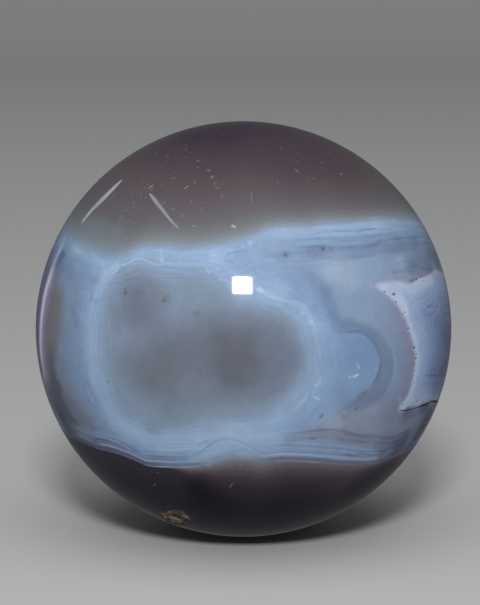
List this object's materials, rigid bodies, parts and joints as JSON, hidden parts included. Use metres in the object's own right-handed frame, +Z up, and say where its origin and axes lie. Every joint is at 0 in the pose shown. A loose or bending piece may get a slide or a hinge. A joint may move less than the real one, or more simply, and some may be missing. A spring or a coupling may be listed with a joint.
{
  "type": "banded agate sphere",
  "caption": "Polished ball of blue-grey banded agate with a translucent window, a blue eye and a small ground flat to rest on.",
  "frame": {"origin": "middle of the ground flat on the underside, which is the middle of the bounding box's bottom", "axes": "+Z up through the ball's centre; -Y towards the face with the grey window and the blue eye; +X to that face's right"},
  "size_m": [0.07, 0.07, 0.0695],
  "materials": {
    "agate": "polished, glassy banded chalcedony"
  },
  "bodies": {
    "root": {"agate_sphere": "agate"}
  },
  "joints": []
}
